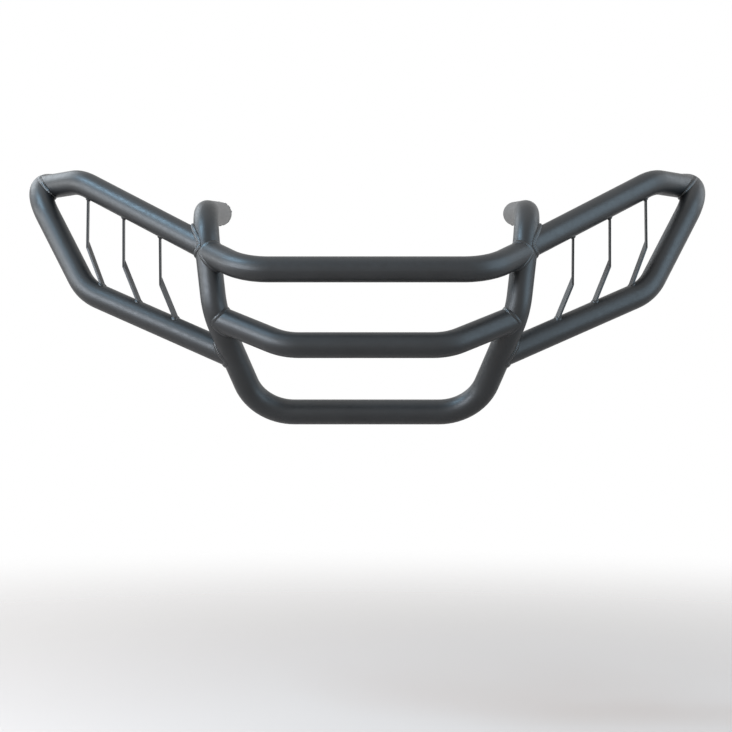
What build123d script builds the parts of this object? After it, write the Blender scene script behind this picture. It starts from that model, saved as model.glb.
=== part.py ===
from build123d import *
import os
from math import atan, cos, radians, sin, tan

# Tubular front bumper, welded from bent round steel tube. All sizes are in millimetres.
# +X is to the right as seen from in front, +Y points to the rear and +Z points up.
# The origin lies midway between the two lower bolt holes, on the rear faces of their brackets.

# Tube
tube_diameter = 38.0
tube_wall = 2.0
bend_radius = 76.0
weld_gap = 0.2

# Main hoop: half widths from the middle, reaches in front of the bracket faces, heights
bottom_bar_half = 163.5
bottom_bar_reach = 85.0
bottom_bar_height = 0.0
kink_half = 224.0
kink_reach = 173.0
kink_height = 152.0
upright_splay = 17.5
upright_lean_back = 15.0
upright_top_height = 300.0
arm_toe_in = 3.5
arm_end_setback = 142.0
arm_rise = 9.0
arm_spare = 15.0

# Crossbars: the straight middle part of each, and how far it and its joints with the uprights lie below
# the top of the uprights, for the upper one, or below their kinks, for the middle one
upper_bar_half = 178.0
upper_bar_reach = 228.0
upper_bar_drop = 85.5
upper_bar_joint_drop = 59.0
middle_bar_half = 120.0
middle_bar_reach = 215.0
middle_bar_drop = 48.0
middle_bar_joint_drop = 9.0

# Outer wing tube: from the leg of the hoop, below its kink, to the lower outer corner, up, and at its
# top back, a little inward and up, with a short straight end
lower_wing_joint_drop = 66.0
wing_tip_half = 523.0
wing_corner_inset = 93.0
wing_corner_reach = 45.0
wing_corner_height = 184.0
wing_tip_setback = 34.0
wing_tip_height = 348.5
tip_end_toe_in = 16.4
tip_end_climb = 2.9
tip_end_straight = 9.0

# Upper wing tube: from the upright, below its top, to its bend, and on to the outer tube behind its tip
upper_wing_joint_drop = 53.0
upper_wing_bend_inset = 81.5
upper_wing_bend_reach = 20.0
upper_wing_bend_rise = 4.0
upper_wing_end_behind_tip = 32.0

# Guard strips: folded flat bars between the two wing tubes, evenly spaced from the upright to the bend
strip_width = 14.0
strip_thickness = 3.0
strip_names = ("inner", "middle", "outer")
strip_first_share = 0.347
strip_last_share = 0.935
fold_share = 0.426
lower_leaf_lean = 22.3
fold_setback = 2.9

# Closing plates and mounts
cap_thickness = 3.0
arm_plate_thickness = 4.0
plate_edge_break = 0.6
tab_thickness = 6.0
tab_height = 30.0
tab_hole_setback = 26.0
mount_hole_diameter = 10.5
bracket_thickness = 5.0
bracket_height = 30.0
bracket_bend_radius = 8.0
lower_hole_half = 85.0
bracket_hole_to_web = 28.0
bracket_hole_to_end = 22.0

tube_radius = tube_diameter / 2
bore_radius = tube_radius - tube_wall
envelope_radius = tube_radius + weld_gap
mount_hole_radius = mount_hole_diameter / 2
upright_top_half = kink_half + upright_splay
upright_top_reach = kink_reach - upright_lean_back
arm_end_half = upright_top_half - arm_toe_in
arm_end_height = upright_top_height + arm_rise


def both_sides(right_points):
    """Returns the points of a symmetrical route from left to right."""
    left_points = [(-x, y, z) for x, y, z in reversed(right_points)]
    return left_points + right_points


def point_on(route, plane):
    """Returns the place, on the right-hand side, where a route passes through a plane."""
    crossings = (route & plane).vertices()
    return crossings.sort_by(Axis.X)[-1].center()


def across(route, outer_radius, inner_radius=0.0):
    """Returns a round section, open where it has an inner radius, drawn across a route's start."""
    with BuildSketch(Plane(origin=route @ 0, z_dir=route % 0)) as section:
        Circle(outer_radius)
        if inner_radius > 0:
            Circle(inner_radius, mode=Mode.SUBTRACT)
    return section.sketch


def write_piece(piece, name):
    """Labels a finished piece and writes it to its own file."""
    piece.part.label = name
    export_step(piece.part, f"parts/{name}.step")


def write_pair(piece, name):
    """Writes a right-hand piece and its mirror image."""
    write_piece(piece, f"{name}_right")
    with BuildPart() as mirrored:
        mirror(piece.part, about=Plane.YZ)
    write_piece(mirrored, f"{name}_left")


os.makedirs("parts", exist_ok=True)

# Main hoop, one tube with six bends; both arms end in the same upright plane
arm_slope_half = (arm_end_half - upright_top_half) / (arm_end_setback + upright_top_reach)
arm_slope_height = (arm_end_height - upright_top_height) / (arm_end_setback + upright_top_reach)
hoop_right = [
    (bottom_bar_half, -bottom_bar_reach, bottom_bar_height),
    (kink_half, -kink_reach, kink_height),
    (upright_top_half, -upright_top_reach, upright_top_height),
    (
        arm_end_half + arm_slope_half * arm_spare,
        arm_end_setback + arm_spare,
        arm_end_height + arm_slope_height * arm_spare,
    ),
]
with BuildLine() as hoop_line:
    FilletPolyline(*both_sides(hoop_right), radius=bend_radius)
hoop_route = hoop_line.wire()
arm_end_plane = Plane(origin=(0, arm_end_setback, 0), z_dir=(0, -1, 0))

with BuildPart() as main_hoop:
    sweep(across(hoop_route, tube_radius, bore_radius), path=hoop_route)
    split(bisect_by=arm_end_plane, keep=Keep.TOP)
write_piece(main_hoop, "main_hoop")

with BuildPart() as hoop_envelope:
    sweep(across(hoop_route, envelope_radius), path=hoop_route)

# Crossbars, bowed forward, with both ends coped to the uprights of the hoop
upper_bar_height = upright_top_height - upper_bar_drop
upper_bar_joint = point_on(hoop_route, Plane.XY.offset(upright_top_height - upper_bar_joint_drop))
with BuildLine() as upper_bar_line:
    FilletPolyline(
        *both_sides([(upper_bar_half, -upper_bar_reach, upper_bar_height), tuple(upper_bar_joint)]),
        radius=bend_radius,
    )
upper_bar_route = upper_bar_line.wire()
with BuildPart() as upper_crossbar:
    sweep(across(upper_bar_route, tube_radius, bore_radius), path=upper_bar_route)
    add(hoop_envelope.part, mode=Mode.SUBTRACT)
write_piece(upper_crossbar, "upper_crossbar")

middle_bar_height = kink_height - middle_bar_drop
middle_bar_joint = point_on(hoop_route, Plane.XY.offset(kink_height - middle_bar_joint_drop))
with BuildLine() as middle_bar_line:
    FilletPolyline(
        *both_sides([(middle_bar_half, -middle_bar_reach, middle_bar_height), tuple(middle_bar_joint)]),
        radius=bend_radius,
    )
middle_bar_route = middle_bar_line.wire()
with BuildPart() as middle_crossbar:
    sweep(across(middle_bar_route, tube_radius, bore_radius), path=middle_bar_route)
    add(hoop_envelope.part, mode=Mode.SUBTRACT)
write_piece(middle_crossbar, "middle_crossbar")

# Outer wing tube: lower wing, outer corner and outer tube in one, its short top end bent back
lower_wing_joint = point_on(hoop_route, Plane.XY.offset(kink_height - lower_wing_joint_drop))
wing_corner = Vector(wing_tip_half - wing_corner_inset, -wing_corner_reach, wing_corner_height)
wing_tip = Vector(wing_tip_half, wing_tip_setback, wing_tip_height)
tip_end_back = cos(radians(tip_end_climb))
tip_end_way = Vector(
    -tip_end_back * sin(radians(tip_end_toe_in)),
    tip_end_back * cos(radians(tip_end_toe_in)),
    sin(radians(tip_end_climb)),
)
tip_turn = radians((wing_tip - wing_corner).get_angle(tip_end_way))
tip_end = wing_tip + tip_end_way * (bend_radius * tan(tip_turn / 2) + tip_end_straight)
with BuildLine() as outer_wing_line:
    FilletPolyline(lower_wing_joint, wing_corner, wing_tip, tip_end, radius=bend_radius)
outer_wing_route = outer_wing_line.wire()
with BuildPart() as outer_wing_tube:
    sweep(across(outer_wing_route, tube_radius, bore_radius), path=outer_wing_route)
    add(hoop_envelope.part, mode=Mode.SUBTRACT)
write_pair(outer_wing_tube, "outer_wing_tube")

with BuildPart() as outer_wing_envelope:
    sweep(across(outer_wing_route, envelope_radius), path=outer_wing_route)

# Upper wing tube, coped to the upright at one end and to the bent top of the outer tube at the other
upper_wing_joint = point_on(hoop_route, Plane.XY.offset(upright_top_height - upper_wing_joint_drop))
upper_wing_bend = Vector(
    wing_tip_half - upper_wing_bend_inset,
    -upper_wing_bend_reach,
    wing_tip_height + upper_wing_bend_rise,
)
upper_wing_end_setback = wing_tip_setback + upper_wing_end_behind_tip
upper_wing_end = point_on(outer_wing_route, Plane.XZ.offset(-upper_wing_end_setback))
with BuildLine() as upper_wing_line:
    FilletPolyline(upper_wing_joint, upper_wing_bend, upper_wing_end, radius=bend_radius)
upper_wing_route = upper_wing_line.wire()
with BuildPart() as upper_wing_tube:
    sweep(across(upper_wing_route, tube_radius, bore_radius), path=upper_wing_route)
    add(hoop_envelope.part, mode=Mode.SUBTRACT)
    add(outer_wing_envelope.part, mode=Mode.SUBTRACT)
write_pair(upper_wing_tube, "upper_wing_tube")

with BuildPart() as upper_wing_envelope:
    sweep(across(upper_wing_route, envelope_radius), path=upper_wing_route)


# Guard strips: each is a flat bar that comes straight down from the upper wing tube and is folded, on a
# line that slants across it, so that its lower leaf leans in and turns part of its face to the front
lower_wing_run = wing_corner - lower_wing_joint
lower_wing_slope = lower_wing_run.Z / lower_wing_run.X
lean_rate = tan(radians(lower_leaf_lean))
strip_run = upper_wing_bend.X - upright_top_half
strip_first_half = upright_top_half + strip_first_share * strip_run
strip_spacing = (strip_last_share - strip_first_share) * strip_run / (len(strip_names) - 1)


def at_half(route, half):
    """Returns the point of a tube's axis that lies at the given half width."""
    return point_on(route, Plane.YZ.offset(half))


def leaf_outline(fold_plane, length, skew):
    """Returns the outline of a flat leaf that runs from its slanting fold along the plane's x axis."""
    with BuildSketch(fold_plane) as outline:
        with BuildLine():
            Polyline(
                (skew, strip_width / 2),
                (length, strip_width / 2),
                (length, -strip_width / 2),
                (-skew, -strip_width / 2),
                close=True,
            )
        make_face()
    return outline.sketch


for index, strip_name in enumerate(strip_names):
    fold_half = strip_first_half + index * strip_spacing
    top = at_half(upper_wing_route, fold_half)
    below = at_half(outer_wing_route, fold_half)
    fold_rise = (top.Z - below.Z) * fold_share
    fold_height = below.Z + fold_rise
    foot_inward = lean_rate * fold_rise / (1 - lean_rate * lower_wing_slope)
    foot = at_half(outer_wing_route, fold_half - foot_inward)
    drop_share = (top.Z - fold_height) / (top.Z - foot.Z)
    fold_y = top.Y + (foot.Y - top.Y) * drop_share + fold_setback
    fold = Vector(fold_half, fold_y, fold_height)

    # The fold line makes the same angle with both leaves, as it does on a bar that was folded flat
    upper_down = (fold - top).normalized()
    lower_down = (foot - fold).normalized()
    upper_back = (Vector(0, 1, 0) - upper_down * upper_down.Y).normalized()
    fold_tilt = atan(upper_back.dot(lower_down) / (1 - upper_down.dot(lower_down)))
    fold_axis = upper_back * cos(fold_tilt) + upper_down * sin(fold_tilt)
    lower_back = (fold_axis - lower_down * fold_axis.dot(lower_down)).normalized()
    skew = strip_width / 2 * tan(fold_tilt)
    knuckle_length = strip_width / cos(fold_tilt) - strip_thickness * abs(tan(fold_tilt))

    upper_plane = Plane(origin=fold, x_dir=upper_down, z_dir=upper_down.cross(upper_back))
    lower_plane = Plane(origin=fold, x_dir=lower_down, z_dir=lower_down.cross(lower_back))
    with BuildPart() as guard_strip:
        extrude(
            leaf_outline(upper_plane, -(fold - top).length, skew),
            amount=strip_thickness / 2,
            both=True,
        )
        extrude(
            leaf_outline(lower_plane, (foot - fold).length, skew),
            amount=strip_thickness / 2,
            both=True,
        )
        with BuildSketch(Plane(origin=fold, z_dir=fold_axis)):
            Circle(strip_thickness / 2)
        extrude(amount=knuckle_length / 2, both=True)
        add(upper_wing_envelope.part, mode=Mode.SUBTRACT)
        add(outer_wing_envelope.part, mode=Mode.SUBTRACT)
    write_pair(guard_strip, f"guard_strip_{strip_name}")

# Cap on the short bent-back end of the outer wing tube
with BuildPart() as wing_end_cap:
    with BuildSketch(Plane(origin=tip_end + tip_end_way * weld_gap, z_dir=tip_end_way)):
        Circle(tube_radius)
    extrude(amount=cap_thickness)
    chamfer(wing_end_cap.edges().filter_by(GeomType.CIRCLE).sort_by(Axis.Y)[-1], length=plate_edge_break)
write_pair(wing_end_cap, "wing_end_cap")

# Plate that closes the rear end of each arm, and the tab with its bolt hole behind it
arm_plate_y = arm_end_setback + weld_gap
with BuildPart() as arm_end_plate:
    with BuildSketch(Plane(origin=(arm_end_half, arm_plate_y, arm_end_height), z_dir=(0, 1, 0))):
        Circle(tube_radius)
    extrude(amount=arm_plate_thickness)
    chamfer(arm_end_plate.edges().filter_by(GeomType.CIRCLE).sort_by(Axis.Y)[-1], length=plate_edge_break)
write_pair(arm_end_plate, "arm_end_plate")

tab_start = arm_plate_y + arm_plate_thickness + weld_gap
tab_plane = Plane(origin=(arm_end_half, tab_start, arm_end_height), x_dir=(0, 1, 0), z_dir=(1, 0, 0))
with BuildPart() as upper_mount_tab:
    with BuildSketch(tab_plane):
        Rectangle(tab_hole_setback, tab_height, align=(Align.MIN, Align.CENTER))
        with Locations((tab_hole_setback, 0)):
            Circle(tab_height / 2)
            Circle(mount_hole_radius, mode=Mode.SUBTRACT)
    extrude(amount=tab_thickness / 2, both=True)
write_pair(upper_mount_tab, "upper_mount_tab")

# Folded bracket: a web coped to the back of the bottom bar, and a flange with the lower bolt hole
flange_middle = -bracket_thickness / 2
bracket_web_half = lower_hole_half - bracket_hole_to_web
bracket_flange_half = lower_hole_half + bracket_hole_to_end
with BuildPart() as lower_bracket:
    with BuildSketch(Plane.XY.offset(bottom_bar_height)):
        with BuildLine():
            FilletPolyline(
                (bracket_web_half, -bottom_bar_reach),
                (bracket_web_half, flange_middle),
                (bracket_flange_half, flange_middle),
                radius=bracket_bend_radius,
            )
        trace(line_width=bracket_thickness)
    extrude(amount=bracket_height / 2, both=True)
    with Locations(Plane(origin=(lower_hole_half, 0, bottom_bar_height), z_dir=(0, 1, 0))):
        Hole(radius=mount_hole_radius, depth=bracket_thickness)
    add(hoop_envelope.part, mode=Mode.SUBTRACT)
write_pair(lower_bracket, "lower_bracket")
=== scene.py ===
from math import atan, cos, exp, pi, radians, sin

import bmesh
import bpy
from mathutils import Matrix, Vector
from mathutils.bvhtree import BVHTree


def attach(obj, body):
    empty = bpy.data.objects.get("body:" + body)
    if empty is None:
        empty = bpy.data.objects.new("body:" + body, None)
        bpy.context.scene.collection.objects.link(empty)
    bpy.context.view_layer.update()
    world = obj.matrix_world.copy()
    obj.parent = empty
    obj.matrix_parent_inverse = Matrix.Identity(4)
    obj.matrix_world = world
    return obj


# Looks of the tubular front bumper: black powder coat, weld beads, camera and soft studio light.
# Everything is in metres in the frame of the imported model: +X right as seen from in front, +Y to the
# rear, +Z up, with the origin midway between the two lower bolt holes.

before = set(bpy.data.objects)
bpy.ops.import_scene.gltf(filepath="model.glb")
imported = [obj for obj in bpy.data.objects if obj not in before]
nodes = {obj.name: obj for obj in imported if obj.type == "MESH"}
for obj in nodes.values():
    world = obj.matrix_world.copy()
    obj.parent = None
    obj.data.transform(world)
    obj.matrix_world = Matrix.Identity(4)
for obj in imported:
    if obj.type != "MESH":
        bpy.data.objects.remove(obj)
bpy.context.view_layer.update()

SIDES = ("right", "left")

# Powder coats: darkest and lightest colour, least and most roughness, strength of peel and grain
TUBE_FINISH = {
    "dark": (0.0050, 0.0052, 0.0055), "light": (0.0085, 0.0088, 0.0093),
    "smooth": 0.40, "rough": 0.50, "peel": 0.55, "grain": 0.45,
}
# The flat-bar pieces carry the same powder coat as the tubes. Their darker colours are painted shade,
# because their flat faces look darker under this light. Their roughness, peel and grain are the coat's
# own.
STRIP_FINISH_WITH_PAINTED_SHADE = {
    "dark": (0.0040, 0.0042, 0.0044), "light": (0.0070, 0.0072, 0.0075),
    "smooth": 0.42, "rough": 0.52, "peel": 0.50, "grain": 0.50,
}
# The weld beads sit under the same powder coat as the tubes. Their lighter colours are a painted
# highlight, so the beads read as bright glints. Their extra gloss is real.
WELD_FINISH_WITH_PAINTED_HIGHLIGHT = {
    "dark": (0.0060, 0.0062, 0.0065), "light": (0.0105, 0.0108, 0.0113),
    "smooth": 0.30, "rough": 0.40, "peel": 0.70, "grain": 0.40,
}
COAT_IOR = 1.47

# The noises of every coat: slow drift in colour, drift in gloss, orange peel and grain. The scale is
# in features per metre and the depths are in metres.
COLOUR_DRIFT = {"scale": 22.0, "detail": 3.0, "roughness": 0.5}
GLOSS_DRIFT = {"scale": 160.0, "detail": 4.0, "roughness": 0.6}
PEEL = {"scale": 520.0, "detail": 1.5, "roughness": 0.5}
PEEL_DEPTH = 0.00006
GRAIN = {"scale": 1900.0, "detail": 2.0, "roughness": 0.65}
GRAIN_DEPTH = 0.00003

# The part of a noise's range that is spread over the two colours, and over the roughness
COLOUR_SPAN = (0.30, 0.72)
GLOSS_SPAN = (0.3, 0.7)

# Flat bar: the pieces made from it, and how the coat rounds their edges
FLAT_PIECES = ("guard_strip", "lower_bracket", "upper_mount_tab")
EDGE_BREAK = 0.0005
EDGE_SEGMENTS = 2
EDGE_ANGLE = radians(40)

# Camera: focal length in pixels of the picture, place of the eye, how far it looks down, and how far
# off its line of sight crosses the bumper's middle plane
PICTURE_WIDTH_PX = 732.0
FOCAL_LENGTH_PX = 2335.0
SENSOR_WIDTH_MM = 36.0
EYE = Vector((0.020, -3.628, 0.170))
LOOK_DOWN = radians(1.62)
AIM_DISTANCE = 3.400
CLIP_END = 100.0

# Floor: as far below the bumper as the wheels of such a vehicle reach. Its colour is slightly warm,
# which looks neutral under the cool lamps. It fades out between two distances from the origin.
FLOOR_HEIGHT = -0.486
FLOOR_HALF_WIDTH = 4.0
FLOOR_COLOUR = (0.575, 0.485, 0.432, 1.0)
FLOOR_ROUGHNESS = 0.9
FLOOR_FADE_START = 0.5
FLOOR_FADE_END = 2.6

# Backdrop, which is seen and mirrored, and sky, which lights the rest. The sky's colours are given by
# the height of the direction, where 0 is SKY_LOWEST and 1 is straight up.
BACKDROP_COLOUR = (1.0, 1.0, 1.0, 1.0)
SKY_LOWEST = -0.35
SKY = (
    (0.00, (0.05, 0.05, 0.05)),
    (0.20, (0.26, 0.26, 0.26)),
    (0.42, (0.34, 0.34, 0.34)),
    (0.75, (0.32, 0.32, 0.32)),
    (1.00, (0.32, 0.32, 0.32)),
)

# Softboxes: they face the middle of the bumper. Azimuth 0 is in front of it and 90 on its right, and
# elevation 90 is overhead. Sizes are in metres, and the radiance is that of the lamp's own face.
LIT_MIDDLE = Vector((0.0, -0.05, 0.18))
SOFTBOX_DISTANCE = 2.6
SOFTBOXES = {
    "left_front": {"azimuth": -53, "elevation": 9, "width": 2.0, "height": 0.9,
                   "radiance": 15.0, "colour": (0.82, 0.90, 1.0)},
    "left_low": {"azimuth": -90, "elevation": 4, "width": 1.6, "height": 0.8,
                 "radiance": 5.4, "colour": (0.93, 0.97, 1.0)},
    "left_high": {"azimuth": -68, "elevation": 44, "width": 0.9, "height": 0.7,
                  "radiance": 29.0, "colour": (0.46, 0.75, 1.0)},
    "left_behind": {"azimuth": -124, "elevation": 32, "width": 1.7, "height": 1.2,
                    "radiance": 4.2, "colour": (0.85, 0.93, 1.0)},
    "right_front": {"azimuth": 64, "elevation": 15, "width": 1.8, "height": 3.0,
                    "radiance": 4.0, "colour": (0.56, 0.80, 1.0)},
    "right_behind": {"azimuth": 112, "elevation": 22, "width": 1.2, "height": 1.5,
                     "radiance": 2.4, "colour": (0.80, 0.90, 1.0)},
    "overhead": {"azimuth": 0, "elevation": 90, "width": 2.4, "height": 1.0,
                 "radiance": 0.6, "colour": (0.95, 0.98, 1.0)},
}

# Weld beads: leg along each surface, crown over the chord, pitch of the ripples, step along the bead
BAR_WELD = {"leg": 0.0030, "crown": 0.0004, "pitch": 0.0024, "step": 0.00045}
WING_WELD = {"leg": 0.0042, "crown": 0.0008, "pitch": 0.0030, "step": 0.00045}
PLATE_WELD = {"leg": 0.0030, "crown": 0.0006, "pitch": 0.0023, "step": 0.00045}
STRIP_WELD = {"leg": 0.0024, "crown": 0.0005, "pitch": 0.0019, "step": 0.00035}
CAP_WELD = {"leg": 0.0021, "crown": 0.0007, "pitch": 0.0024, "step": 0.00045}

# A face is seated where it lies this near to the other piece and faces it this squarely, after the
# points of a mesh that are closer than SEAM_MERGE have been made one
SEAT_GAP = 0.0009
SEAT_FACING = -0.7
SEAM_MERGE = 1e-6

# Shape of a bead: ripples as a share of the crown, how far they bow along the bead in pitches, how deep
# its edges and its root lie, and how much its height wanders, in how many waves round it. Its line is
# smoothed over so many legs, under a bell curve that falls off at this rate. Short beads have at least
# so many rings and ripples.
RIPPLE_SHARE = 0.34
RIPPLE_BOW = 0.42
TOE_SINK = 0.00012
ROOT_DEPTH = 0.0006
WANDER_SHARE = 0.22
WANDER_WAVES = (3, 7)
SMOOTHED_LEGS = 0.6
SMOOTHING_FALL = 2.0
PROFILE_POINTS = 9
LEAST_RINGS = 24
LEAST_REACH = 2
LEAST_RIPPLES = 6


# Materials

def new_material(name):
    """Returns an empty node material with its shader and output already joined."""
    material = bpy.data.materials.new(name)
    material.use_nodes = True
    tree = material.node_tree
    tree.nodes.clear()
    output = tree.nodes.new("ShaderNodeOutputMaterial")
    shader = tree.nodes.new("ShaderNodeBsdfPrincipled")
    tree.links.new(shader.outputs["BSDF"], output.inputs["Surface"])
    return material, tree, shader


def noise_node(tree, vector, scale, detail, roughness):
    """Adds a noise texture whose features are about 1 / scale metres wide."""
    node = tree.nodes.new("ShaderNodeTexNoise")
    node.inputs["Scale"].default_value = scale
    node.inputs["Detail"].default_value = detail
    node.inputs["Roughness"].default_value = roughness
    tree.links.new(vector, node.inputs["Vector"])
    return node


def bump_node(tree, noise, strength, depth):
    """Adds a bump that follows a noise."""
    node = tree.nodes.new("ShaderNodeBump")
    node.inputs["Strength"].default_value = strength
    node.inputs["Distance"].default_value = depth
    tree.links.new(noise.outputs["Fac"], node.inputs["Height"])
    return node


def powder_coat(name, dark, light, smooth, rough, peel, grain):
    """Black powder coat: colour and gloss that drift a little, orange peel, and a fine grain."""
    material, tree, shader = new_material(name)
    place = tree.nodes.new("ShaderNodeTexCoord").outputs["Object"]

    drift = noise_node(tree, place, **COLOUR_DRIFT)
    ramp = tree.nodes.new("ShaderNodeValToRGB")
    for stop, position, colour in zip(ramp.color_ramp.elements, COLOUR_SPAN, (dark, light)):
        stop.position = position
        stop.color = (*colour, 1.0)
    tree.links.new(drift.outputs["Fac"], ramp.inputs["Fac"])
    tree.links.new(ramp.outputs["Color"], shader.inputs["Base Color"])

    gloss = noise_node(tree, place, **GLOSS_DRIFT)
    spread = tree.nodes.new("ShaderNodeMapRange")
    spread.inputs["From Min"].default_value, spread.inputs["From Max"].default_value = GLOSS_SPAN
    spread.inputs["To Min"].default_value = smooth
    spread.inputs["To Max"].default_value = rough
    tree.links.new(gloss.outputs["Fac"], spread.inputs["Value"])
    tree.links.new(spread.outputs["Result"], shader.inputs["Roughness"])

    peel_bump = bump_node(tree, noise_node(tree, place, **PEEL), peel, PEEL_DEPTH)
    grain_bump = bump_node(tree, noise_node(tree, place, **GRAIN), grain, GRAIN_DEPTH)
    tree.links.new(peel_bump.outputs["Normal"], grain_bump.inputs["Normal"])
    tree.links.new(grain_bump.outputs["Normal"], shader.inputs["Normal"])
    shader.inputs["IOR"].default_value = COAT_IOR
    return material


TUBE_COAT = powder_coat("tube_powder_coat", **TUBE_FINISH)
# The strip coat's darker colour is painted shade, and the weld coat's lighter colour is a painted
# highlight.
STRIP_COAT_WITH_PAINTED_SHADE = powder_coat("strip_powder_coat_with_painted_shade", **STRIP_FINISH_WITH_PAINTED_SHADE)
WELD_COAT_WITH_PAINTED_HIGHLIGHT = powder_coat("weld_powder_coat_with_painted_highlight", **WELD_FINISH_WITH_PAINTED_HIGHLIGHT)


def dress_cad_node(node, material):
    """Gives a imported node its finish."""
    for mesh_slot in nodes[node].material_slots:
        mesh_slot.material = material


def break_edges(node):
    """Rounds the sharp edges of a piece cut from flat bar, where the coat flows over them."""
    bevel = nodes[node].modifiers.new("broken_edges", "BEVEL")
    bevel.width = EDGE_BREAK
    bevel.segments = EDGE_SEGMENTS
    bevel.limit_method = "ANGLE"
    bevel.angle_limit = EDGE_ANGLE
    bevel.harden_normals = True


for node in nodes:
    if node.startswith(FLAT_PIECES):
        dress_cad_node(node, STRIP_COAT_WITH_PAINTED_SHADE)
        break_edges(node)
    else:
        dress_cad_node(node, TUBE_COAT)


# Weld beads

class Surface:
    """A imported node's own mesh, welded along its seams, with a tree for nearest-point questions."""

    def __init__(self, node):
        self.mesh = bmesh.new()
        self.mesh.from_mesh(nodes[node].data)
        bmesh.ops.remove_doubles(self.mesh, verts=self.mesh.verts, dist=SEAM_MERGE)
        self.mesh.normal_update()
        self.tree = BVHTree.FromBMesh(self.mesh)

    def nearest(self, point):
        """Returns the nearest point of the surface and the normal there."""
        place, normal, _, _ = self.tree.find_nearest(point)
        return place, normal


surfaces = {}


def surface_of(node):
    """Returns a node's surface, made once."""
    if node not in surfaces:
        surfaces[node] = Surface(node)
    return surfaces[node]


def seated_faces(piece, carrier):
    """Returns the faces of a piece that lie against its carrier."""
    seated = set()
    for face in piece.mesh.faces:
        middle = face.calc_center_median()
        place, normal = carrier.nearest(middle)
        if (place - middle).length < SEAT_GAP and face.normal.dot(normal) < SEAT_FACING:
            seated.add(face)
    return seated


def rim_loops(piece, carrier):
    """Returns the closed rims of the seated faces, as lists of points with the outer wall's normals."""
    seated = seated_faces(piece, carrier)
    walls = {}
    links = {}
    for edge in piece.mesh.edges:
        inner = [face for face in edge.link_faces if face in seated]
        outer = [face for face in edge.link_faces if face not in seated]
        if len(inner) == 1 and len(outer) == 1:
            for vert, other in (edge.verts, reversed(edge.verts)):
                links.setdefault(vert, []).append(other)
                walls.setdefault(vert, Vector((0, 0, 0)))
                walls[vert] += outer[0].normal
    loops = []
    unseen = set(links)
    while unseen:
        vert = min(unseen, key=lambda v: v.index)
        chain = []
        while vert is not None:
            unseen.discard(vert)
            chain.append((vert.co.copy(), walls[vert].normalized()))
            vert = next((other for other in links[vert] if other in unseen), None)
        loops.append(chain)
    return loops


def loop_length(chain):
    """Returns the length round a closed chain."""
    return sum((chain[i][0] - chain[i - 1][0]).length for i in range(len(chain)))


def resample(chain, step):
    """Returns points and normals at even steps round a closed chain."""
    total = loop_length(chain)
    count = max(LEAST_RINGS, round(total / step))
    points, normals = [], []
    index, walked = 0, 0.0
    for i in range(count):
        goal = total * i / count
        while True:
            start, start_normal = chain[index]
            end, end_normal = chain[(index + 1) % len(chain)]
            span = (end - start).length
            if walked + span >= goal or index == len(chain) - 1:
                break
            walked += span
            index += 1
        share = min(1.0, (goal - walked) / span) if span > 0 else 0.0
        points.append(start.lerp(end, share))
        normals.append(start_normal.lerp(end_normal, share).normalized())
    return points, normals


def smooth_ring(values, reach):
    """Returns a ring of vectors, each averaged with its neighbours under a bell curve."""
    weights = [exp(-SMOOTHING_FALL * (k / reach) ** 2) for k in range(-reach, reach + 1)]
    total = sum(weights)
    count = len(values)
    smoothed = []
    for i in range(count):
        value = Vector((0, 0, 0))
        for k, weight in zip(range(-reach, reach + 1), weights):
            value += values[(i + k) % count] * weight
        smoothed.append(value / total)
    return smoothed


def bead_mesh(bead, piece, carrier, chain, size, flush):
    """Adds one rippled bead, closed round its rim, to a bmesh.

    Flush is for a cap as wide as the tube that it closes: the bead then lies across the seam between
    them instead of in a corner.
    """
    points, walls = resample(chain, size["step"])
    count = len(points)
    reach = max(LEAST_REACH, round(size["leg"] * SMOOTHED_LEGS / size["step"]))
    points = smooth_ring(points, reach)
    walls = [normal.normalized() for normal in smooth_ring(walls, reach)]
    seats = [carrier.nearest(point) for point in points]
    if flush:
        grounds = walls
    else:
        grounds = [normal.normalized() for normal in smooth_ring([seat[1] for seat in seats], reach)]
    tangents = [(points[(i + 1) % count] - points[i - 1]).normalized() for i in range(count)]
    away = sum(walls[i].cross(tangents[i]).dot(seats[i][1]) for i in range(count))
    turn = 1.0 if away > 0 else -1.0

    around = loop_length([(point, None) for point in points])
    ripples = max(LEAST_RIPPLES, round(around / size["pitch"]))
    rings = []
    for i in range(count):
        along_piece = walls[i].cross(tangents[i]) * turn
        along_carrier = tangents[i].cross(grounds[i]) * turn
        outward = (walls[i] + grounds[i]).normalized()
        toe, toe_normal = piece.nearest(points[i] + along_piece * size["leg"])
        toe = toe - toe_normal * TOE_SINK
        start = points[i] if flush else seats[i][0]
        foot, foot_normal = carrier.nearest(start + along_carrier * size["leg"])
        foot = foot - foot_normal * TOE_SINK
        wander = sum(sin(2 * pi * waves * i / count + waves) for waves in WANDER_WAVES)
        crown = size["crown"] * (1 + WANDER_SHARE * wander)
        ring = []
        for k in range(PROFILE_POINTS):
            u = k / (PROFILE_POINTS - 1)
            arch = 4 * u * (1 - u)
            phase = ripples * i / count + RIPPLE_BOW * (1 - arch)
            ripple = abs(sin(pi * phase))
            rise = crown * arch * (1 - RIPPLE_SHARE + RIPPLE_SHARE * 2 * ripple)
            ring.append(bead.verts.new(toe.lerp(foot, u) + outward * rise))
        ring.append(bead.verts.new(points[i] - outward * ROOT_DEPTH))
        rings.append(ring)
    for i in range(count):
        ring, before = rings[i], rings[i - 1]
        for k in range(len(ring)):
            bead.faces.new((before[k - 1], before[k], ring[k], ring[k - 1]))


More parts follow.
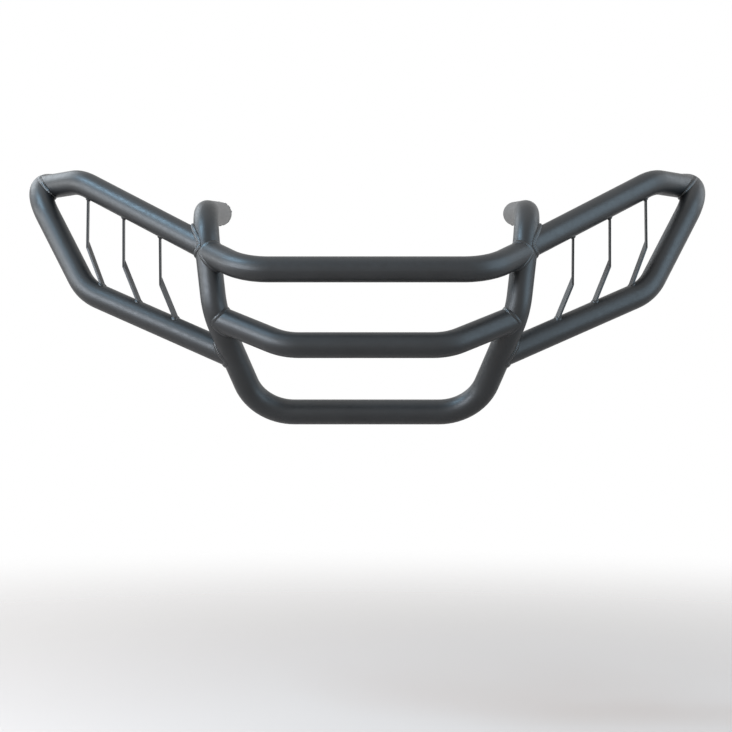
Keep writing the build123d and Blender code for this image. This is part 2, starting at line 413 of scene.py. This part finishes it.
def weld(piece_name, carrier_name, size, flush=False):
    """Lays the bead that joins a piece to its carrier, round each of the piece's seated ends."""
    piece, carrier = surface_of(piece_name), surface_of(carrier_name)
    loops = rim_loops(piece, carrier)
    if not loops:
        raise ValueError(f"{piece_name} has no seated end on {carrier_name}")
    # A hollow end has an outer and an inner rim on its side of the bumper. The longer one is outside.
    ends = {}
    for chain in loops:
        on_right = sum(point.x for point, _ in chain) > 0
        if on_right not in ends or loop_length(chain) > loop_length(ends[on_right]):
            ends[on_right] = chain
    bead = bmesh.new()
    for on_right in sorted(ends):
        bead_mesh(bead, piece, carrier, ends[on_right], size, flush)
    bmesh.ops.recalc_face_normals(bead, faces=bead.faces)
    for face in bead.faces:
        face.smooth = True
    mesh = bpy.data.meshes.new(f"weld_{piece_name}_to_{carrier_name}")
    bead.to_mesh(mesh)
    bead.free()
    mesh.materials.append(WELD_COAT_WITH_PAINTED_HIGHLIGHT)
    made = bpy.data.objects.new(mesh.name, mesh)
    bpy.context.scene.collection.objects.link(made)
    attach(made, "root")


weld("upper_crossbar", "main_hoop", BAR_WELD)
weld("middle_crossbar", "main_hoop", BAR_WELD)
for side in SIDES:
    weld(f"outer_wing_tube_{side}", "main_hoop", WING_WELD)
    weld(f"upper_wing_tube_{side}", "main_hoop", WING_WELD)
    weld(f"upper_wing_tube_{side}", f"outer_wing_tube_{side}", WING_WELD)
    for place in ("inner", "middle", "outer"):
        weld(f"guard_strip_{place}_{side}", f"upper_wing_tube_{side}", STRIP_WELD)
        weld(f"guard_strip_{place}_{side}", f"outer_wing_tube_{side}", STRIP_WELD)
    weld(f"lower_bracket_{side}", "main_hoop", PLATE_WELD)
    weld(f"upper_mount_tab_{side}", f"arm_end_plate_{side}", PLATE_WELD)
    weld(f"wing_end_cap_{side}", f"outer_wing_tube_{side}", CAP_WELD, flush=True)
    weld(f"arm_end_plate_{side}", "main_hoop", CAP_WELD, flush=True)


# Camera

camera_data = bpy.data.cameras.new("camera")
camera_data.sensor_width = SENSOR_WIDTH_MM
camera_data.lens = FOCAL_LENGTH_PX * SENSOR_WIDTH_MM / PICTURE_WIDTH_PX
camera = bpy.data.objects.new("camera", camera_data)
bpy.context.scene.collection.objects.link(camera)
turn_left = atan(EYE.x / AIM_DISTANCE)
look = Vector((
    -sin(turn_left) * cos(LOOK_DOWN),
    cos(turn_left) * cos(LOOK_DOWN),
    -sin(LOOK_DOWN),
))
camera.location = EYE
camera.rotation_euler = look.to_track_quat("-Z", "Y").to_euler()
camera_data.clip_end = CLIP_END
bpy.context.scene.camera = camera


# Floor, world and lamps

def add_floor():
    """A pale floor that keeps the bumper's shadow and fades into the white backdrop farther out."""
    mesh = bpy.data.meshes.new("floor")
    half = FLOOR_HALF_WIDTH
    corners = [(-half, -half), (half, -half), (half, half), (-half, half)]
    mesh.from_pydata([(x, y, FLOOR_HEIGHT) for x, y in corners], [], [(0, 1, 2, 3)])
    floor = bpy.data.objects.new("floor", mesh)
    bpy.context.scene.collection.objects.link(floor)
    material, tree, shader = new_material("pale_floor")
    shader.inputs["Base Color"].default_value = FLOOR_COLOUR
    shader.inputs["Roughness"].default_value = FLOOR_ROUGHNESS
    shader.inputs["Specular IOR Level"].default_value = 0.0
    place = tree.nodes.new("ShaderNodeTexCoord")
    reach = tree.nodes.new("ShaderNodeVectorMath")
    reach.operation = "LENGTH"
    tree.links.new(place.outputs["Object"], reach.inputs[0])
    fade = tree.nodes.new("ShaderNodeMapRange")
    fade.interpolation_type = "SMOOTHSTEP"
    fade.inputs["From Min"].default_value = FLOOR_FADE_START
    fade.inputs["From Max"].default_value = FLOOR_FADE_END
    tree.links.new(reach.outputs["Value"], fade.inputs["Value"])
    clear = tree.nodes.new("ShaderNodeBsdfTransparent")
    mix = tree.nodes.new("ShaderNodeMixShader")
    tree.links.new(fade.outputs["Result"], mix.inputs["Fac"])
    tree.links.new(shader.outputs["BSDF"], mix.inputs[1])
    tree.links.new(clear.outputs["BSDF"], mix.inputs[2])
    output = next(node for node in tree.nodes if node.type == "OUTPUT_MATERIAL")
    tree.links.new(mix.outputs["Shader"], output.inputs["Surface"])
    mesh.materials.append(material)


def add_world():
    """A white backdrop to look at and to be mirrored, and a soft sky that lights all the rest."""
    world = bpy.data.worlds.new("studio")
    bpy.context.scene.world = world
    world.use_nodes = True
    tree = world.node_tree
    tree.nodes.clear()
    output = tree.nodes.new("ShaderNodeOutputWorld")
    place = tree.nodes.new("ShaderNodeTexCoord")
    split = tree.nodes.new("ShaderNodeSeparateXYZ")
    tree.links.new(place.outputs["Generated"], split.inputs["Vector"])
    height = tree.nodes.new("ShaderNodeMapRange")
    height.inputs["From Min"].default_value = SKY_LOWEST
    height.inputs["From Max"].default_value = 1.0
    tree.links.new(split.outputs["Z"], height.inputs["Value"])
    ramp = tree.nodes.new("ShaderNodeValToRGB")
    stops = ramp.color_ramp.elements
    for position, _ in SKY[1:-1]:
        stops.new(position)
    for stop, (_, colour) in zip(stops, SKY):
        stop.color = (*colour, 1.0)
    tree.links.new(height.outputs["Result"], ramp.inputs["Fac"])
    sky = tree.nodes.new("ShaderNodeBackground")
    tree.links.new(ramp.outputs["Color"], sky.inputs["Color"])
    backdrop = tree.nodes.new("ShaderNodeBackground")
    backdrop.inputs["Color"].default_value = BACKDROP_COLOUR
    rays = tree.nodes.new("ShaderNodeLightPath")
    seen = rays.outputs["Is Camera Ray"]
    for also in ("Is Glossy Ray", "Is Transmission Ray"):
        either = tree.nodes.new("ShaderNodeMath")
        either.operation = "MAXIMUM"
        tree.links.new(seen, either.inputs[0])
        tree.links.new(rays.outputs[also], either.inputs[1])
        seen = either.outputs["Value"]
    mix = tree.nodes.new("ShaderNodeMixShader")
    tree.links.new(seen, mix.inputs["Fac"])
    tree.links.new(sky.outputs["Background"], mix.inputs[1])
    tree.links.new(backdrop.outputs["Background"], mix.inputs[2])
    tree.links.new(mix.outputs["Shader"], output.inputs["Surface"])


def add_softbox(name, azimuth, elevation, width, height, radiance, colour):
    """A rectangular area lamp that faces the bumper."""
    turn, rise = radians(azimuth), radians(elevation)
    way = Vector((sin(turn) * cos(rise), -cos(turn) * cos(rise), sin(rise)))
    lamp_data = bpy.data.lights.new(name, "AREA")
    lamp_data.shape = "RECTANGLE"
    lamp_data.size = width
    lamp_data.size_y = height
    lamp_data.energy = radiance * pi * width * height
    lamp_data.color = colour
    lamp = bpy.data.objects.new(name, lamp_data)
    bpy.context.scene.collection.objects.link(lamp)
    lamp.location = LIT_MIDDLE + way * SOFTBOX_DISTANCE
    lamp.rotation_euler = (-way).to_track_quat("-Z", "Y").to_euler()


add_floor()
add_world()
for name, lamp in SOFTBOXES.items():
    add_softbox(name, **lamp)

bpy.context.scene.view_settings.view_transform = "Standard"
